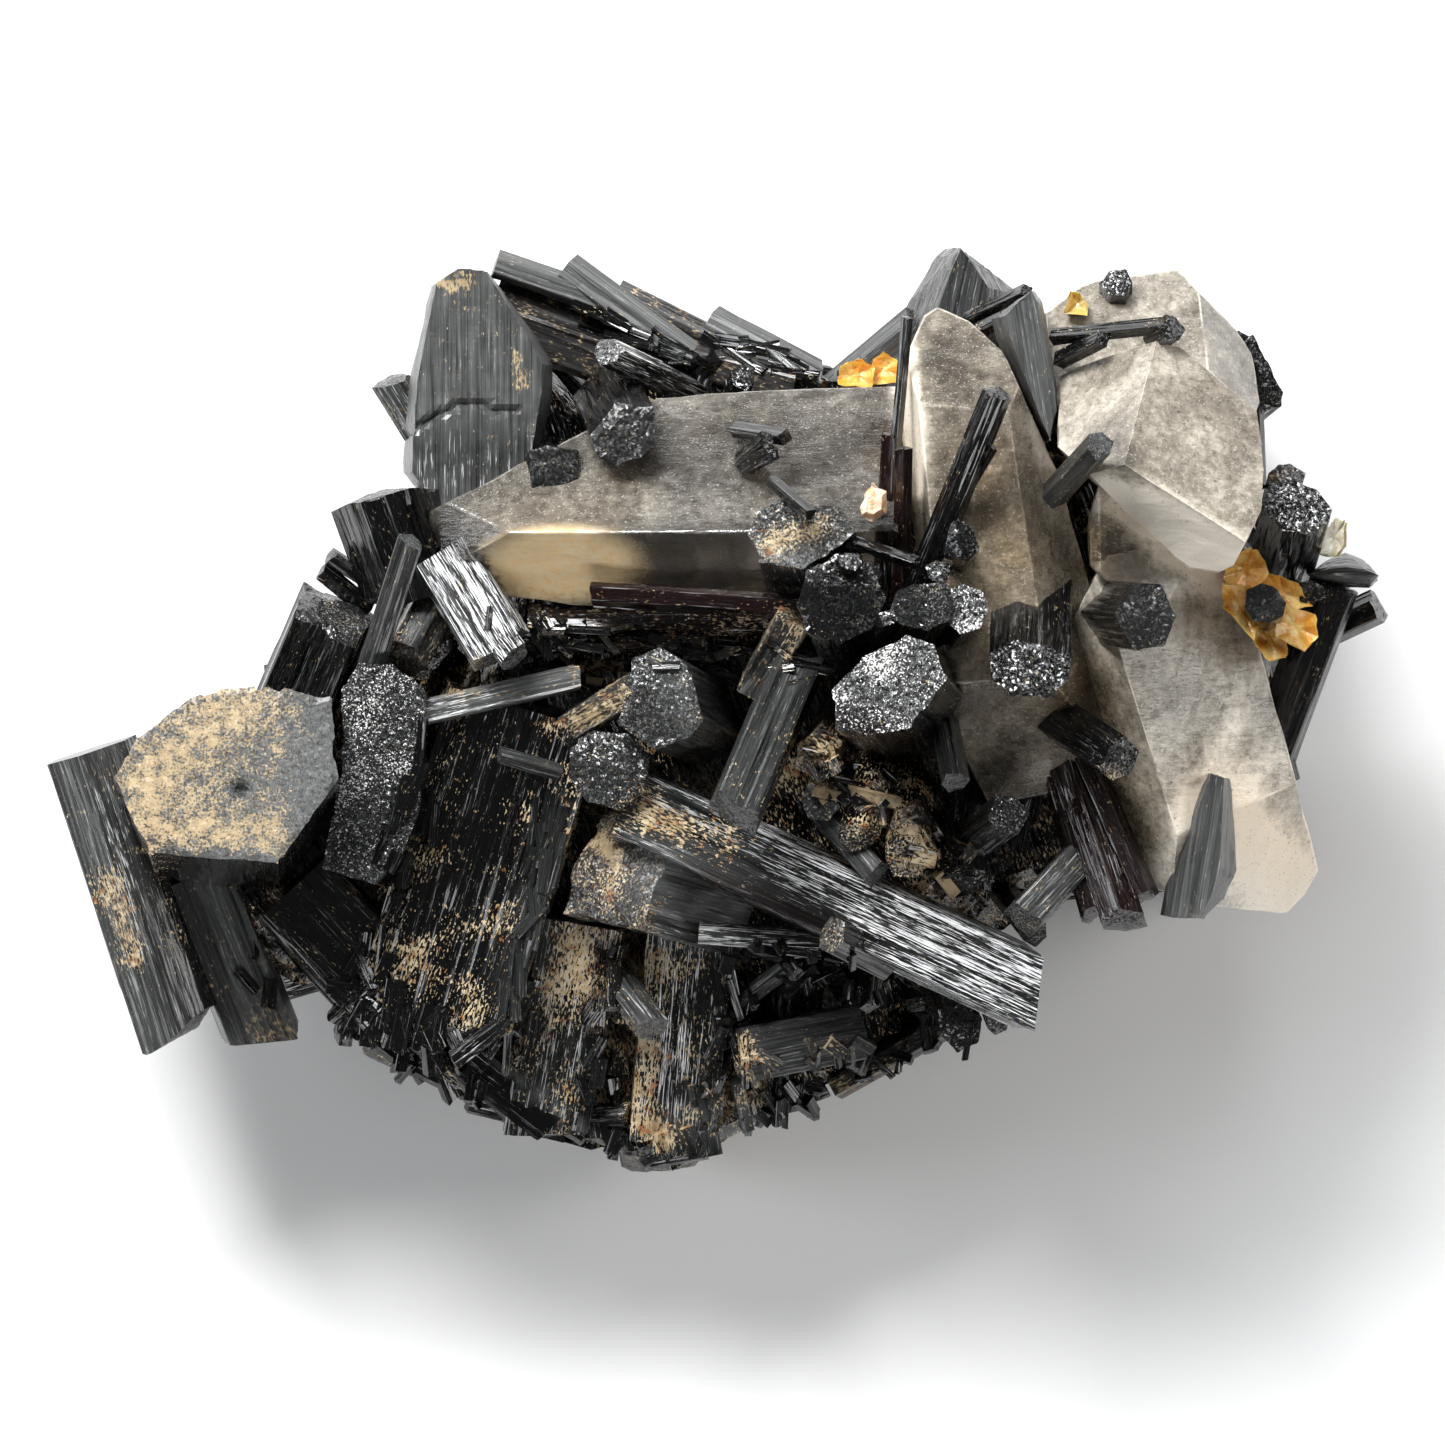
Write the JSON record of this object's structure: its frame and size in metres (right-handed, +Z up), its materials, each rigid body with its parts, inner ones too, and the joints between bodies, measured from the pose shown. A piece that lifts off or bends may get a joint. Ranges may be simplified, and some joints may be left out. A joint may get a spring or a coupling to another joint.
{
  "type": "schorl on smoky quartz mineral specimen",
  "caption": "Cluster of black tourmaline prisms with smoky quartz crystals and a little orange mica, lying on its flat broken back, display face up.",
  "frame": {"origin": "middle of the specimen's outline on the surface that it lies on", "axes": "+Z up out of the display face, +X along the specimen's length towards the smoky quartz, +Y across it"},
  "size_m": [0.081, 0.0564, 0.0369],
  "materials": {
    "schorl": "black striated crystal faces, glassy to dull, tan clay along the grain",
    "smoky_quartz": "frosted, brown-grey, clouded",
    "mica": "orange-stained waxy flakes",
    "pale_crust": "matte cream crust"
  },
  "bodies": {
    "root": {"schorl_cluster": "schorl", "schorl_sprig_left": "schorl", "schorl_needle_top": "schorl", "schorl_rod_right": "schorl", "schorl_stub_right": "schorl", "schorl_corner_prism": "schorl", "smoky_quartz_left": "smoky_quartz", "smoky_quartz_right": "smoky_quartz", "mica_rosette": "mica", "mica_lumps_back": "mica", "mica_flake_yellow": "mica", "mica_flake_pale": "mica", "pale_lump": "pale_crust"}
  },
  "joints": []
}
